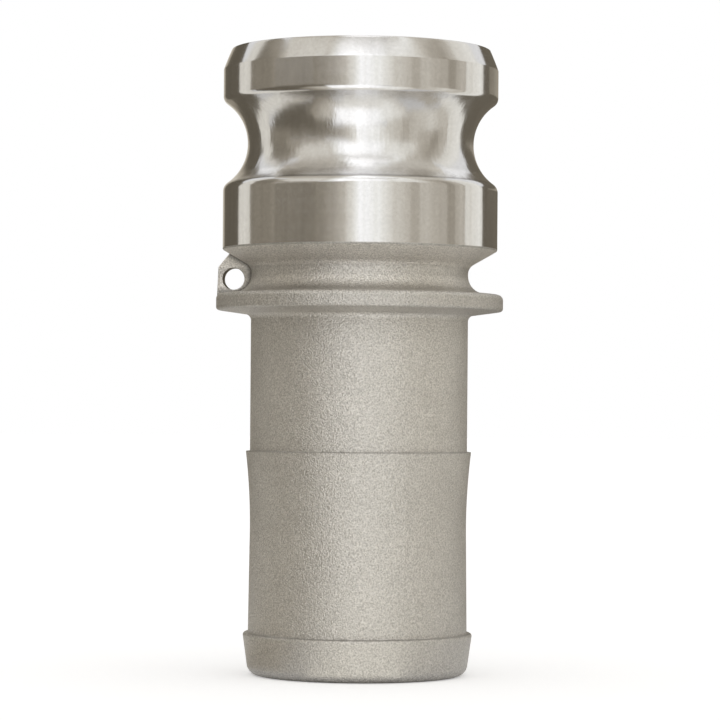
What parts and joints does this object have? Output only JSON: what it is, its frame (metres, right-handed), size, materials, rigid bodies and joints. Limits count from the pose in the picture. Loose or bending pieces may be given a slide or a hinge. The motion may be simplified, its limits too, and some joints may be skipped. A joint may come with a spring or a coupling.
{
  "type": "cam and groove coupling adapter with hose shank",
  "caption": "Cast stainless steel adapter: a grooved male end that cam arms lock onto, a waisted neck with an eyed ear, a stop collar and a barbed hose shank.",
  "frame": {"origin": "centre of the hose end's face, on the bore's axis", "axes": "+Z along the bore towards the adapter end, -X towards the ear"},
  "size_m": [0.0658, 0.0658, 0.143],
  "materials": {
    "stainless_steel": "bead-blasted casting, with the adapter end turned bright from its nose to the barrel's lower edge"
  },
  "bodies": {
    "root": {"hose_adapter": "stainless_steel"}
  },
  "joints": []
}
